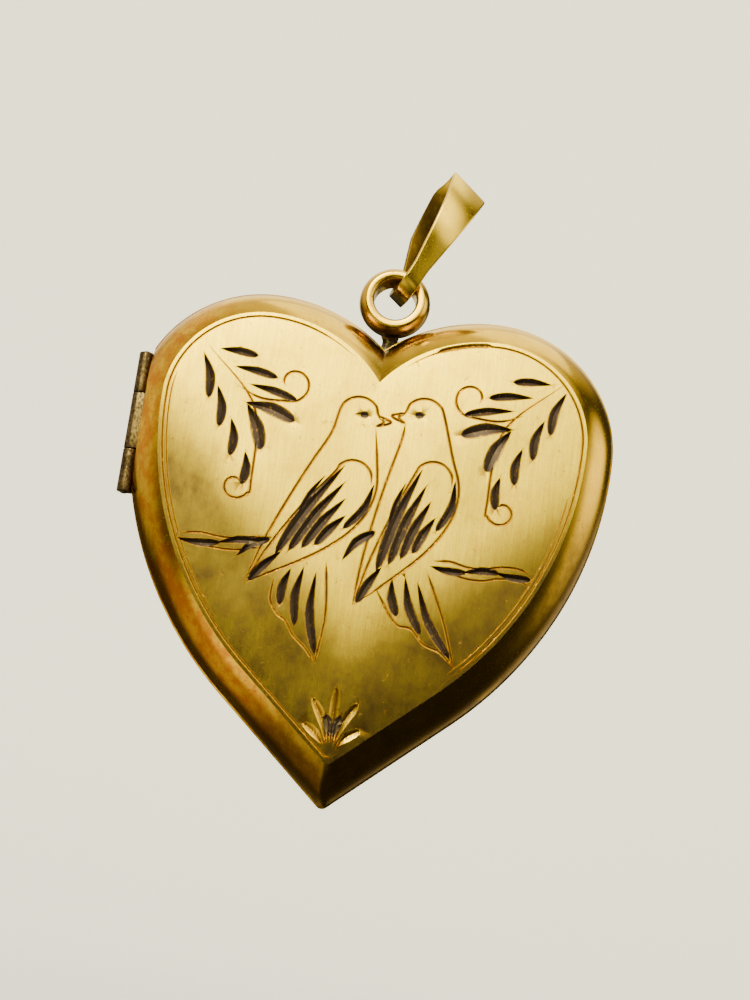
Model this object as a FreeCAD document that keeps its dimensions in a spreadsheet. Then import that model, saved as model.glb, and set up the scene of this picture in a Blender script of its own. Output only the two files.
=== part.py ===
import FreeCAD, Part
import math
import os

import Sketcher

# A heart locket: two thin domed covers hinged on the left, a photo frame and clear window inside each,
# a soldered ring above the cleft and a folded strip bail through the ring.
# Case frame: X to the right, Y from front to back with the seam at Y 0, Z up along the heart's axis.
# The row's origin is the place where a chain lies in the bail, so every piece is placed from there.

DIMENSIONS = [
    # Heart outline at the seam: shoulder arc, lobe arc, side arc and straight run to the tip.
    ("lobe_x", 6.6),
    ("lobe_z", 5.95),
    ("lobe_radius", 7.4),
    ("shoulder_radius", 10.0),
    ("side_radius", 21.7),
    ("tip_half_angle", 49.0),
    ("hinge_flat_x", 13.3),
    # Covers: a short straight lip at the seam, then a rolled edge, set a little in, that meets the face at a
    # crease. Inside, a straight hem behind the lip takes the rim.
    ("cover_depth", 2.25),
    ("lip_height", 0.25),
    ("lip_step", 0.08),
    ("roll_radius", 3.48),
    ("roll_start_angle", 18.0),
    ("hem_depth", 0.50),
    ("front_wall", 0.40),
    ("front_hem", 0.60),
    ("back_wall", 0.45),
    ("back_hem", 0.65),
    # Snap rim soldered in the back cover, standing up into the front cover.
    ("rim_inner_inset", 0.95),
    ("rim_height", 0.95),
    ("rim_bottom_y", 0.5),
    # Photo frames, windows and backing cards.
    ("frame_thickness", 0.35),
    ("window_thickness", 0.20),
    ("card_thickness", 0.25),
    ("frame_opening_inset", 2.1),
    ("front_frame_inset", 0.86),
    ("front_frame_y", -0.55),
    ("front_window_inset", 1.0),
    ("front_window_y", -0.90),
    ("front_card_inset", 1.25),
    ("front_card_y", -1.10),
    ("back_frame_inset", 0.97),
    ("back_frame_y", 0.35),
    ("back_window_inset", 0.97),
    ("back_window_y", 0.55),
    ("back_card_inset", 1.2),
    ("back_card_y", 0.80),
    # Hinge: three knuckles on one pin, its axis in the seam plane.
    ("hinge_axis_x", -13.75),
    ("knuckle_radius", 0.42),
    ("pressed_bore_radius", 0.20),
    ("running_bore_radius", 0.225),
    ("pivot_radius", 0.20),
    ("pivot_crown", 0.08),
    ("pivot_overhang", 0.10),
    ("leaf_gap", 0.05),
    ("knuckle_gap", 0.05),
    ("hinge_bottom_z", 0.35),
    ("bottom_knuckle_length", 2.50),
    ("middle_knuckle_length", 3.35),
    ("top_knuckle_length", 2.45),
    # Suspension ring and its soldered foot.
    ("ring_x", 0.22),
    ("ring_z", 13.85),
    ("ring_hole_radius", 1.25),
    ("ring_face_radius", 1.75),
    ("ring_belly_radius", 2.10),
    ("ring_half_depth", 0.92),
    ("ring_edge_round", 0.22),
    ("foot_width", 1.16),
    ("foot_front_y", 0.06),
    ("foot_depth", 0.80),
    ("foot_drop", 3.05),
    ("foot_height", 1.6),
    # Bail: one strip folded at the top, its loop through the ring.
    ("strip_thickness", 0.34),
    ("bail_foot_z", 0.30),
    ("bail_foot_half", 0.48),
    ("bail_corner_radius", 1.20),
    ("bail_bow_half", 1.96),
    ("bail_bow_z", 4.6),
    ("bail_leaf_radius", 5.7),
    ("bail_fold_radius", 0.50),
    ("bail_top_half_width", 1.30),
    ("bail_waist_half_width", 0.50),
    ("bail_waist_z", 2.3),
    ("bail_trim_top_z", 8.8),
    ("bail_trim_bottom_z", -1.0),
    ("bail_trim_x", 3.0),
    ("bail_lean", 24.0),
    ("bail_yaw", 13.0),
    ("bail_skew", 12.0),
    ("chain_seat_z", 7.0),
]

# Straight steps up the rolled edge of a cover.
ROLL_STEPS = 5

document = FreeCAD.newDocument("heart_locket")
sheet = document.addObject("Spreadsheet::Sheet", "Dimensions")
for row, (alias, number) in enumerate(DIMENSIONS, start=1):
    sheet.set(f"A{row}", alias)
    sheet.set(f"B{row}", str(number))
    sheet.setAlias(f"B{row}", alias)
document.recompute()

parts = {}


def size(alias):
    """The number held by one cell of the sheet."""
    return float(sheet.get(alias))


def cell(alias):
    """The words that bind a property to one cell."""
    return f"Dimensions.{alias}"


def vector(x, y):
    return FreeCAD.Vector(x, y, 0)


def origin_plane(body, role):
    """One of the body's own origin planes."""
    return next(feature for feature in body.Origin.OriginFeatures if feature.Role == role)


def new_body(node):
    """A body with its node's name, kept in the list of pieces to write."""
    body = document.addObject("PartDesign::Body", node)
    body.Label = node
    parts[node] = body
    return body


def new_sketch(body, name, role, offset=None):
    """A sketch on one origin plane, moved along the plane's normal by the offset expression."""
    sketch = body.newObject("Sketcher::SketchObject", f"{body.Name}_{name}")
    sketch.AttachmentSupport = (origin_plane(body, role), [""])
    sketch.MapMode = "FlatFace"
    if offset:
        sketch.setExpression("AttachmentOffset.Base.z", offset)
    return sketch


def constrain(sketch, kind, *where, name=None, expression=None):
    """Add one constraint; with an expression it is named and driven by the sheet."""
    index = sketch.addConstraint(Sketcher.Constraint(kind, *where))
    if expression:
        sketch.renameConstraint(index, name)
        sketch.setExpression(f"Constraints.{name}", expression)


def arc(centre, radius, start, end):
    """An arc about the centre, its angles in degrees and counter-clockwise."""
    circle = Part.Circle(centre, FreeCAD.Vector(0, 0, 1), radius)
    return Part.ArcOfCircle(circle, math.radians(start), math.radians(end))


def heart_loop(sketch, name, inset="0"):
    """One closed heart, the seam outline moved inward by the inset expression.

    On each side a shoulder arc rises from the cleft to the top of the lobe, the lobe arc turns down to the
    widest point, the side arc runs on, and a straight run tangent to it ends at the tip. All three arcs keep
    their centres for every inset. On the left a straight flat makes room for the hinge.
    """
    step = float(sheet.evalExpression(inset))
    less = f" - ({inset})"
    lobe_x, lobe_z, flat = size("lobe_x"), size("lobe_z"), size("hinge_flat_x") - step
    lobe = size("lobe_radius") - step
    shoulder = size("shoulder_radius") - step
    side = size("side_radius") - step
    side_x = lobe_x + lobe - side
    shoulder_z = lobe_z + lobe - shoulder
    turn = size("tip_half_angle")
    cleft = math.degrees(math.acos(-lobe_x / shoulder))
    foot = vector(side_x + side * math.cos(math.radians(turn)), lobe_z - side * math.sin(math.radians(turn)))
    tip = vector(0, foot.y - foot.x / math.tan(math.radians(turn)))
    lobe_flat = math.degrees(math.acos((flat - lobe_x) / lobe))
    side_flat = math.degrees(math.acos((flat - side_x) / side))
    flat_top = vector(-flat, lobe_z + lobe * math.sin(math.radians(lobe_flat)))
    flat_bottom = vector(-flat, lobe_z - side * math.sin(math.radians(side_flat)))

    right = [
        arc(vector(lobe_x, shoulder_z), shoulder, 90, cleft),
        arc(vector(lobe_x, lobe_z), lobe, 0, 90),
        arc(vector(side_x, lobe_z), side, -turn, 0),
        Part.LineSegment(tip, foot),
    ]
    left = [
        arc(vector(-lobe_x, shoulder_z), shoulder, 180 - cleft, 90),
        arc(vector(-lobe_x, lobe_z), lobe, 90, 180 - lobe_flat),
        Part.LineSegment(flat_top, flat_bottom),
        arc(vector(-side_x, lobe_z), side, 180 + side_flat, 180 + turn),
        Part.LineSegment(vector(-foot.x, foot.y), tip),
    ]
    rise, bend, flank, run = sketch.addGeometry(right)
    rise_left, bend_left, seat, flank_left, run_left = sketch.addGeometry(left)

    constrain(sketch, "Tangent", rise, 1, bend, 2)
    constrain(sketch, "Tangent", bend, 1, flank, 2)
    constrain(sketch, "Tangent", flank, 1, run, 2)
    constrain(sketch, "PointOnObject", rise, 2, -2)
    constrain(sketch, "PointOnObject", run, 1, -2)
    constrain(sketch, "Vertical", rise, 3, bend, 3)
    constrain(sketch, "Horizontal", bend, 3, flank, 3)
    for bow, radius, alias in ((rise, shoulder, "shoulder"), (bend, lobe, "lobe"), (flank, side, "side")):
        driver = cell(f"{alias}_radius") + less
        constrain(sketch, "Radius", bow, radius, name=f"{name}_{alias}", expression=driver)
    constrain(sketch, "DistanceX", -1, 1, bend, 3, lobe_x, name=f"{name}_lobe_x", expression=cell("lobe_x"))
    constrain(sketch, "DistanceY", -1, 1, bend, 3, lobe_z, name=f"{name}_lobe_z", expression=cell("lobe_z"))
    constrain(
        sketch, "Angle", run, math.radians(90 - turn),
        name=f"{name}_tip", expression=f"(90 - {cell('tip_half_angle')}) * 1 deg",
    )

    constrain(sketch, "Coincident", rise_left, 1, rise, 2)
    constrain(sketch, "Coincident", run_left, 2, run, 1)
    constrain(sketch, "Tangent", rise_left, 2, bend_left, 1)
    constrain(sketch, "Coincident", bend_left, 2, seat, 1)
    constrain(sketch, "Coincident", seat, 2, flank_left, 1)
    constrain(sketch, "Tangent", flank_left, 2, run_left, 1)
    constrain(sketch, "Vertical", seat)
    constrain(sketch, "Equal", rise_left, rise)
    constrain(sketch, "Equal", bend_left, bend)
    constrain(sketch, "Equal", flank_left, flank)
    constrain(sketch, "Symmetric", bend_left, 3, bend, 3, -2)
    constrain(sketch, "Symmetric", flank_left, 3, flank, 3, -2)
    constrain(
        sketch, "DistanceX", seat, 1, -1, 1, flat,
        name=f"{name}_seat", expression=cell("hinge_flat_x") + less,
    )


def pad(body, sketch, length, reverse=False):
    """Pad the sketch by a cell's length, forward to -Y from an XZ sketch unless reversed."""
    feature = body.newObject("PartDesign::Pad", f"{sketch.Name}_pad")
    feature.Profile = sketch
    feature.Reversed = reverse
    feature.setExpression("Length", cell(length))
    document.recompute()
    return feature


# The ring's centre stands straight down the leaning bail from the chain seat.
RING_X = f"(-{cell('chain_seat_z')} * sin({cell('bail_lean')} * 1 deg))"
RING_RISE = f"(-{cell('chain_seat_z')} * cos({cell('bail_lean')} * 1 deg))"


def place_on_case(piece):
    """Move a piece modelled in the case frame into the row frame."""
    piece.setExpression("Placement.Base.x", f"{RING_X} - {cell('ring_x')}")
    piece.setExpression("Placement.Base.z", f"{RING_RISE} - {cell('ring_z')}")


def place_on_ring(piece, across="0", depth="0", rise="0"):
    """Put a piece modelled about the ring's centre into the row frame, moved by the three expressions."""
    piece.setExpression("Placement.Base.x", f"{RING_X} + {across}")
    piece.setExpression("Placement.Base.y", depth)
    piece.setExpression("Placement.Base.z", f"{RING_RISE} + {rise}")


def edge_inset(depth, wall="0"):
    """Inset of the rolled edge at one depth, as an expression, for the outer skin or one wall further in.

    The edge is an arc that starts roll_start_angle off the seam's normal at the top of the lip.
    """
    radius, start = cell("roll_radius"), f"{cell('roll_start_angle')} * 1 deg"
    height = f"({depth} - {cell('lip_height')} + {radius} * sin({start}))"
    return f"{cell('lip_step')} + {radius} * cos({start}) - sqrt(({radius} - {wall}) ^ 2 - {height} ^ 2)"


def rolled_sections(body, name, direction, seam, first_depth, last_depth, wall="0"):
    """Heart sketches up a cover's edge: straight from the seam to the first depth, then along the roll."""
    sections = [new_sketch(body, f"{name}_seam", "XZ_Plane")]
    heart_loop(sections[0], name, seam)
    step = new_sketch(body, f"{name}_lip", "XZ_Plane", offset=f"{-direction} * {first_depth}")
    heart_loop(step, name, seam)
    sections.append(step)
    for number in range(1, ROLL_STEPS + 1):
        depth = f"({first_depth} + {number / ROLL_STEPS} * ({last_depth} - {first_depth}))"
        level = new_sketch(body, f"{name}_{number}", "XZ_Plane", offset=f"{-direction} * {depth}")
        heart_loop(level, name, edge_inset(depth, wall))
        sections.append(level)
    return sections


def loft(body, kind, name, sections):
    feature = body.newObject(kind, name)
    feature.Profile = sections[0]
    feature.Sections = sections[1:]
    feature.Ruled = True
    document.recompute()
    return feature


def cover(node, direction, side):
    """A thin cover: a heart with a rolled edge, hollowed from the seam to an even wall behind a hem."""
    body = new_body(node)
    wall, hem = cell(f"{side}_wall"), cell(f"{side}_hem")
    outer = rolled_sections(body, "outer", direction, "0", cell("lip_height"), cell("cover_depth"))
    blank = loft(body, "PartDesign::AdditiveLoft", f"{node}_blank", outer)
    inner_depth = f"({cell('cover_depth')} - {wall})"
    inner = rolled_sections(body, "inner", direction, hem, cell("hem_depth"), inner_depth, wall)
    hollow = loft(body, "PartDesign::SubtractiveLoft", f"{node}_hollow", inner)
    assert hollow.Shape.Volume < 0.6 * blank.Shape.Volume
    place_on_case(body)


def heart_plate(node, outer, thickness, depth, opening=None):
    """A flat heart, or a heart ring, whose back face lies at the depth cell."""
    body = new_body(node)
    outline = new_sketch(body, "outline", "XZ_Plane", offset=f"-{cell(depth)}")
    heart_loop(outline, "outer", cell(outer))
    if opening:
        heart_loop(outline, "opening", cell(opening))
    pad(body, outline, thickness)
    place_on_case(body)


def cylinder(name, radius, length, bottom):
    """A Part cylinder on the hinge axis, all sizes from expressions."""
    tube = document.addObject("Part::Cylinder", name)
    tube.setExpression("Radius", radius)
    tube.setExpression("Height", length)
    tube.setExpression("Placement.Base.x", cell("hinge_axis_x"))
    tube.setExpression("Placement.Base.z", bottom)
    return tube


def boolean(kind, name, base, tool):
    result = document.addObject(kind, name)
    result.Base = base
    result.Tool = tool
    return result


def knuckle(node, length, bottom, bore, forward):
    """A hinge knuckle: a bored tube with a short leaf that seats on the flat of one cover."""
    tube = cylinder(f"{node}_tube", cell("knuckle_radius"), cell(length), bottom)
    leaf = document.addObject("Part::Box", f"{node}_leaf")
    leaf.setExpression("Length", f"-{cell('hinge_flat_x')} - {cell('hinge_axis_x')}")
    leaf.setExpression("Width", f"{cell('knuckle_radius')} - {cell('leaf_gap')}")
    leaf.setExpression("Height", cell(length))
    leaf.setExpression("Placement.Base.x", cell("hinge_axis_x"))
    leaf.setExpression("Placement.Base.y", f"-{cell('knuckle_radius')}" if forward else cell("leaf_gap"))
    leaf.setExpression("Placement.Base.z", bottom)
    solid = boolean("Part::Fuse", f"{node}_solid", tube, leaf)
    hole = cylinder(f"{node}_bore", cell(bore), cell(length), bottom)
    piece = boolean("Part::Cut", node, solid, hole)
    piece.Label = node
    place_on_case(piece)
    parts[node] = piece


def hinge():
    """Three knuckles, the middle one on the front cover, and the pin through them."""
    middle_z = f"{cell('hinge_bottom_z')} + {cell('bottom_knuckle_length')} + {cell('knuckle_gap')}"
    top_z = f"{middle_z} + {cell('middle_knuckle_length')} + {cell('knuckle_gap')}"
    knuckle(
        "hinge_knuckle_bottom", "bottom_knuckle_length", cell("hinge_bottom_z"), "pressed_bore_radius", False
    )
    knuckle("hinge_knuckle_middle", "middle_knuckle_length", middle_z, "running_bore_radius", True)
    knuckle("hinge_knuckle_top", "top_knuckle_length", top_z, "pressed_bore_radius", False)
    wire = cylinder(
        "hinge_pin_wire", cell("pivot_radius"),
        f"{top_z} + {cell('top_knuckle_length')} - {cell('hinge_bottom_z')} + 2 * {cell('pivot_overhang')}",
        f"{cell('hinge_bottom_z')} - {cell('pivot_overhang')}",
    )
    document.recompute()
    piece = document.addObject("Part::Fillet", "hinge_pin")
    piece.Base = wire
    crown = size("pivot_crown")
    rims = [number for number, edge in enumerate(wire.Shape.Edges, start=1) if edge.Closed]
    piece.Edges = [(number, crown, crown) for number in rims]
    piece.Label = "hinge_pin"
    place_on_case(piece)
    parts["hinge_pin"] = piece


def suspension_ring():
    """A barrel-shaped ring turned about the Y axis, its hole's edges eased for the bail."""
    body = new_body("suspension_ring")
    profile = new_sketch(body, "profile", "XY_Plane")
    hole, face, belly = size("ring_hole_radius"), size("ring_face_radius"), size("ring_belly_radius")
    half = size("ring_half_depth")
    bore, back, bulge, front = profile.addGeometry([
        Part.LineSegment(vector(hole, -half), vector(hole, half)),
        Part.LineSegment(vector(hole, half), vector(face, half)),
        Part.Arc(vector(face, half), vector(belly, 0), vector(face, -half)),
        Part.LineSegment(vector(face, -half), vector(hole, -half)),
    ])
    constrain(profile, "Coincident", bore, 2, back, 1)
    constrain(profile, "Coincident", back, 2, bulge, 2)
    constrain(profile, "Coincident", bulge, 1, front, 1)
    constrain(profile, "Coincident", front, 2, bore, 1)
    constrain(profile, "Vertical", bore)
    constrain(profile, "Horizontal", back)
    constrain(profile, "Horizontal", front)
    constrain(profile, "PointOnObject", bulge, 3, -1)
    constrain(profile, "DistanceX", -1, 1, bore, 1, hole, name="hole", expression=cell("ring_hole_radius"))
    constrain(profile, "DistanceX", -1, 1, back, 2, face, name="face", expression=cell("ring_face_radius"))
    constrain(profile, "DistanceY", -1, 1, bore, 2, half, name="half", expression=cell("ring_half_depth"))
    rise = f"({cell('ring_belly_radius')} - {cell('ring_face_radius')})"
    constrain(
        profile, "Radius", bulge, (half**2 + (belly - face) ** 2) / (2 * (belly - face)), name="barrel",
        expression=f"({cell('ring_half_depth')} ^ 2 + {rise} ^ 2) / (2 * {rise})",
    )
    turned = body.newObject("PartDesign::Revolution", "suspension_ring_turned")
    turned.Profile = profile
    turned.ReferenceAxis = (profile, ["V_Axis"])
    turned.Angle = 360
    document.recompute()
    eased = body.newObject("PartDesign::Fillet", "suspension_ring_eased")
    rims = []
    for number, edge in enumerate(turned.Shape.Edges, start=1):
        circle = edge.Curve
        if isinstance(circle, Part.Circle) and abs(abs(edge.Vertexes[0].Y) - half) < 1e-4:
            rims.append(f"Edge{number}")
    eased.Base = (turned, rims)
    eased.setExpression("Radius", cell("ring_edge_round"))
    document.recompute()
    place_on_ring(body)
    return body


def ring_foot(ring, back_cover):
    """The soldered foot: a small block shaped below by the cleft of the back cover and above by the ring."""
    block = document.addObject("Part::Box", "ring_foot_block")
    block.setExpression("Length", cell("foot_width"))
    block.setExpression("Width", cell("foot_depth"))
    block.setExpression("Height", cell("foot_height"))
    place_on_ring(block, f"-{cell('foot_width')} / 2", cell("foot_front_y"), f"-{cell('foot_drop')}")
    seated = boolean("Part::Cut", "ring_foot_seated", block, back_cover)
    piece = boolean("Part::Cut", "ring_foot", seated, ring)
    piece.Label = "ring_foot"
    parts["ring_foot"] = piece


def strip_loop(sketch, name, inset="0"):
    """One closed side line of the bail: flat foot in the ring, two corners, bowed leaves, sharp fold on top.

    The straight run between a corner and its leaf is tangent to both arcs. The arcs keep their centres for
    every inset, so the outer and the inner line are one strip thickness apart.
    """
    step = float(sheet.evalExpression(inset))
    low = size("bail_foot_z") + step
    corner, leaf, fold = (size(f"bail_{bend}_radius") - step for bend in ("corner", "leaf", "fold"))
    corner_at = vector(size("bail_foot_half"), low + corner)
    leaf_at = vector(size("bail_bow_half") - size("bail_leaf_radius"), size("bail_bow_z"))
    fold_at = vector(0, leaf_at.y + math.sqrt((leaf - fold) ** 2 - leaf_at.x**2))
    reach = corner_at - leaf_at
    slope = -math.degrees(math.atan2(reach.y, reach.x) + math.acos((leaf - corner) / reach.Length))
    turn = math.degrees(math.atan2(fold_at.y - leaf_at.y, -leaf_at.x))
    outward = vector(math.cos(math.radians(slope)), -math.sin(math.radians(slope)))

    def mirrored(point):
        return vector(-point.x, point.y)

    start, end = corner_at + outward * corner, leaf_at + outward * leaf
    foot, bend, waist, face, crown, face_back, waist_back, bend_back = sketch.addGeometry([
        Part.LineSegment(vector(-corner_at.x, low), vector(corner_at.x, low)),
        arc(corner_at, corner, -90, -slope),
        Part.LineSegment(start, end),
        arc(leaf_at, leaf, -slope, turn),
        arc(fold_at, fold, turn, 180 - turn),
        arc(mirrored(leaf_at), leaf, 180 - turn, 180 + slope),
        Part.LineSegment(mirrored(end), mirrored(start)),
        arc(mirrored(corner_at), corner, 180 + slope, 270),
    ])
    chain = (foot, bend, waist, face, crown, face_back, waist_back, bend_back)
    for first, second in zip(chain, chain[1:] + chain[:1]):
        constrain(sketch, "Tangent", first, 2, second, 1)
    constrain(sketch, "Symmetric", foot, 1, foot, 2, -2)
    constrain(sketch, "PointOnObject", crown, 3, -2)
    constrain(sketch, "Equal", bend, bend_back)
    constrain(sketch, "Equal", face, face_back)
    constrain(sketch, "Horizontal", face, 3, face_back, 3)
    driven = [
        ("Radius", (bend,), corner, f"{cell('bail_corner_radius')} - ({inset})"),
        ("Radius", (face,), leaf, f"{cell('bail_leaf_radius')} - ({inset})"),
        ("Radius", (crown,), fold, f"{cell('bail_fold_radius')} - ({inset})"),
        ("DistanceX", (-1, 1, foot, 2), corner_at.x, cell("bail_foot_half")),
        ("DistanceY", (-1, 1, foot, 2), low, f"{cell('bail_foot_z')} + ({inset})"),
        ("DistanceX", (-1, 1, face, 3), leaf_at.x, f"{cell('bail_bow_half')} - {cell('bail_leaf_radius')}"),
        ("DistanceY", (-1, 1, face, 3), leaf_at.y, cell("bail_bow_z")),
    ]
    for number, (kind, where, value, expression) in enumerate(driven):
        constrain(sketch, kind, *where, value, name=f"{name}_{number}", expression=expression)


def bail():
    """The bail: a strip loop padded across its width, then trimmed to a taper from the fold to the waist."""
    body = new_body("bail")
    side = new_sketch(body, "side", "YZ_Plane")
    strip_loop(side, "outer")
    strip_loop(side, "inner", cell("strip_thickness"))
    strip = body.newObject("PartDesign::Pad", "bail_strip")
    strip.Profile = side
    strip.Midplane = True
    strip.setExpression("Length", f"2 * {cell('bail_top_half_width')}")
    strip.UseCustomVector = True
    skew = math.radians(size("bail_skew"))
    strip.Direction = FreeCAD.Vector(math.cos(skew), 0, -math.sin(skew))
    document.recompute()

    trim = new_sketch(body, "trim", "XZ_Plane")
    top, waist, clear = size("bail_top_half_width"), size("bail_waist_half_width"), size("bail_trim_x")
    top_z, waist_z, low_z = size("bail_trim_top_z"), size("bail_waist_z"), size("bail_trim_bottom_z")
    corners = [(waist, low_z), (waist, waist_z), (top, top_z), (clear, top_z), (clear, low_z)]
    names = [
        ("bail_waist_half_width", "bail_trim_bottom_z"), ("bail_waist_half_width", "bail_waist_z"),
        ("bail_top_half_width", "bail_trim_top_z"), ("bail_trim_x", "bail_trim_top_z"),
        ("bail_trim_x", "bail_trim_bottom_z"),
    ]
    for hand in (1, -1):
        ends = [vector(hand * x, z) for x, z in corners]
        lines = [Part.LineSegment(first, second) for first, second in zip(ends, ends[1:] + ends[:1])]
        sides = trim.addGeometry(lines)
        for first, second in zip(sides, sides[1:] + sides[:1]):
            constrain(trim, "Coincident", first, 2, second, 1)
        for edge, (x_cell, z_cell), end in zip(sides, names, ends):
            across, up = f"{hand} * {cell(x_cell)}", cell(z_cell)
            constrain(trim, "DistanceX", -1, 1, edge, 1, end.x, name=f"corner_{edge}_x", expression=across)
            constrain(trim, "DistanceY", -1, 1, edge, 1, end.y, name=f"corner_{edge}_z", expression=up)
    taper = body.newObject("PartDesign::Pocket", "bail_taper")
    taper.Profile = trim
    taper.Type = "ThroughAll"
    taper.Midplane = True
    document.recompute()
    assert taper.Shape.Volume < 0.9 * strip.Shape.Volume
    lean = f"create(<<rotation>>; 0; {cell('bail_lean')}; 0)"
    yaw = f"create(<<rotation>>; {cell('bail_yaw')}; 0; 0)"
    place = f"create(<<vector>>; {RING_X}; 0; {RING_RISE})"
    body.setExpression("Placement", f"create(<<placement>>; {place}; {lean} * {yaw})")


def check():
    """Stop on a failed feature or a bad solid before anything is written."""
    failed = [item.Name for item in document.Objects if {"Invalid", "Error"} & set(item.State)]
    assert not failed, failed
    for node, piece in parts.items():
        shape = piece.Shape
        assert not shape.isNull() and shape.isValid() and shape.Volume > 0, node
        print(f"{node:24s} solids {len(shape.Solids)}  volume {shape.Volume:8.3f} mm3")


for side, direction in (("front", -1), ("back", 1)):
    cover(f"{side}_cover", direction, side)
    heart_plate(
        f"{side}_photo_frame", f"{side}_frame_inset", "frame_thickness", f"{side}_frame_y",
        opening="frame_opening_inset",
    )
    heart_plate(f"{side}_photo_window", f"{side}_window_inset", "window_thickness", f"{side}_window_y")
    heart_plate(f"{side}_backing_card", f"{side}_card_inset", "card_thickness", f"{side}_card_y")
heart_plate("back_rim", "back_hem", "rim_height", "rim_bottom_y", opening="rim_inner_inset")
hinge()
ring = suspension_ring()
ring_foot(ring, parts["back_cover"])
bail()
document.recompute()
check()

os.makedirs("parts", exist_ok=True)
for node, piece in parts.items():
    piece.Shape.exportStep(f"parts/{node}.step")
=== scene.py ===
# %% [markdown]
# # A hinged heart locket
# Two thin pressed covers meet at a seam and turn on a three-knuckle hinge at the left. A barrel-shaped
# ring is soldered above the cleft, and a folded strip bail hangs the locket from its chain. The front is
# engraved by hand with two small birds on a twig, leafy scrolls and a sprig.
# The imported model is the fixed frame: every piece here is worked out in millimetres in the case's own
# frame (X right, Y back from the seam, Z up), and then moved to where the frame's boxes say the case is.

# %% Load the frame and find the case and the ring
import bmesh
import bpy
import numpy as np
from mathutils import Euler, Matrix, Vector
from mathutils.geometry import delaunay_2d_cdt


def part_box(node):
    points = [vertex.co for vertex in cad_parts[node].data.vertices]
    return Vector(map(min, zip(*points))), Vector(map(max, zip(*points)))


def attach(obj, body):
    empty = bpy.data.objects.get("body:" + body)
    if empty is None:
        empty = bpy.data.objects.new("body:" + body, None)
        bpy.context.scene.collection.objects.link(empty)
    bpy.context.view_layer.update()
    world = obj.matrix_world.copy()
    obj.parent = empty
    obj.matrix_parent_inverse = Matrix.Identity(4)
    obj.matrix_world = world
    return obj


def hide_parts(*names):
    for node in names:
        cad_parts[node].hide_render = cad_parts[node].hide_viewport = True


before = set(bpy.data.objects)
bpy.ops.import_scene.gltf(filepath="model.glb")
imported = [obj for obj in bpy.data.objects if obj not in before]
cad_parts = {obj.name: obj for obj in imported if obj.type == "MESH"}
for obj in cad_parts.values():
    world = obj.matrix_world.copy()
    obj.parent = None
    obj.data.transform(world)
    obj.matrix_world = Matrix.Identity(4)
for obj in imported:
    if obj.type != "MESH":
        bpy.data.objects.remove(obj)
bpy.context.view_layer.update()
MM = 0.001
LOBE, LOBE_RADIUS, SHOULDER_RADIUS, SIDE_RADIUS = (6.6, 5.95), 7.4, 10.0, 21.7
TIP_ANGLE, TIP_ROUND, FLAT_X = 49.0, 0.42, 13.3
LIP_HEIGHT, LIP_STEP, ROLL_RADIUS, ROLL_START, CREASE_DEPTH = 0.25, 0.08, 3.48, 18.0, 2.25
HINGE_X, KNUCKLE, BORE = 13.75, 0.42, 0.202


def node_box(node):
    """Lowest and highest corner of a frame node, in millimetres."""
    return [np.array(corner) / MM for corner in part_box(node)]


CASE = node_box("front_cover")[1] - [LOBE[0] + LOBE_RADIUS, 0, LOBE[1] + LOBE_RADIUS]
RING = sum(node_box("suspension_ring")) / 2
print("case origin", CASE.round(3), "ring centre", RING.round(3))

# %% [markdown]
# ## From arrays to a piece
# Every surface below is a grid of points worked out as whole arrays. Neighbours on the grid are joined by
# quads, the patches of one piece are laid end to end in one mesh, and points that coincide are merged so
# that the seams close. Angles sharper than the crease stay sharp, and everything else shades smoothly.

# %% Grid faces and the piece maker
def grid_faces(rows, columns, close_rows=False, close_columns=False):
    """Quads of a grid: index = row times columns plus column, with the last joined to the first if closed."""
    row = np.arange(rows if close_rows else rows - 1)[:, None]
    column = np.arange(columns if close_columns else columns - 1)[None, :]
    below, right = (row + 1) % rows, (column + 1) % columns
    corners = [row * columns + column, row * columns + right, below * columns + right, below * columns + column]
    return np.stack(corners, -1).reshape(-1, 4)


def patch(grid, finish=0, close_rows=False):
    """A grid whose columns go all the way round, as its points, quads, finish numbers and stains."""
    rows, columns = grid.shape[:2]
    faces = grid_faces(rows, columns, close_rows, True)
    return grid.reshape(-1, 3), faces, np.full(len(faces), finish), np.zeros(rows * columns)


def make_piece(name, patches, finishes, body, stands_for, origin=CASE, crease=32):
    """Join the patches, move them by the origin, merge, turn outward, and let the piece ride its body."""
    starts = np.cumsum([0] + [len(points) for points, _, _, _ in patches])
    mesh = bpy.data.meshes.new(name)
    points = (np.concatenate([part[0] for part in patches]) + origin) * MM
    faces = [face for start, part in zip(starts, patches) for face in (part[1] + start).tolist()]
    mesh.from_pydata(points.tolist(), [], faces)
    mesh.polygons.foreach_set("material_index", np.concatenate([part[2] for part in patches]).astype(np.int32))
    stain = mesh.attributes.new("stain", "FLOAT", "POINT")
    stain.data.foreach_set("value", np.concatenate([part[3] for part in patches]))
    shell = bmesh.new()
    shell.from_mesh(mesh)
    bmesh.ops.remove_doubles(shell, verts=shell.verts, dist=5e-7)
    bmesh.ops.recalc_face_normals(shell, faces=shell.faces)
    open_edges = sum(edge.is_boundary for edge in shell.edges)
    volume = shell.calc_volume(signed=True) / MM**3
    shell.to_mesh(mesh)
    shell.free()
    mesh.shade_smooth()
    mesh.set_sharp_from_angle(angle=np.radians(crease))
    piece = bpy.data.objects.new(name, mesh)
    bpy.context.scene.collection.objects.link(piece)
    for finish in finishes:
        mesh.materials.append(finish)
    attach(piece, body)
    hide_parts(*stands_for)
    print(f"{name}: {len(mesh.polygons)} faces, {open_edges} open edges, {volume:.2f} mm3")
    return piece


# %% [markdown]
# ## Writing finishes as sums
# A finish is a small sum of masks: a little tarnish here, a scratch there. Wrapping a socket in a class
# whose operators add the matching node lets the recipe read like arithmetic.

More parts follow.
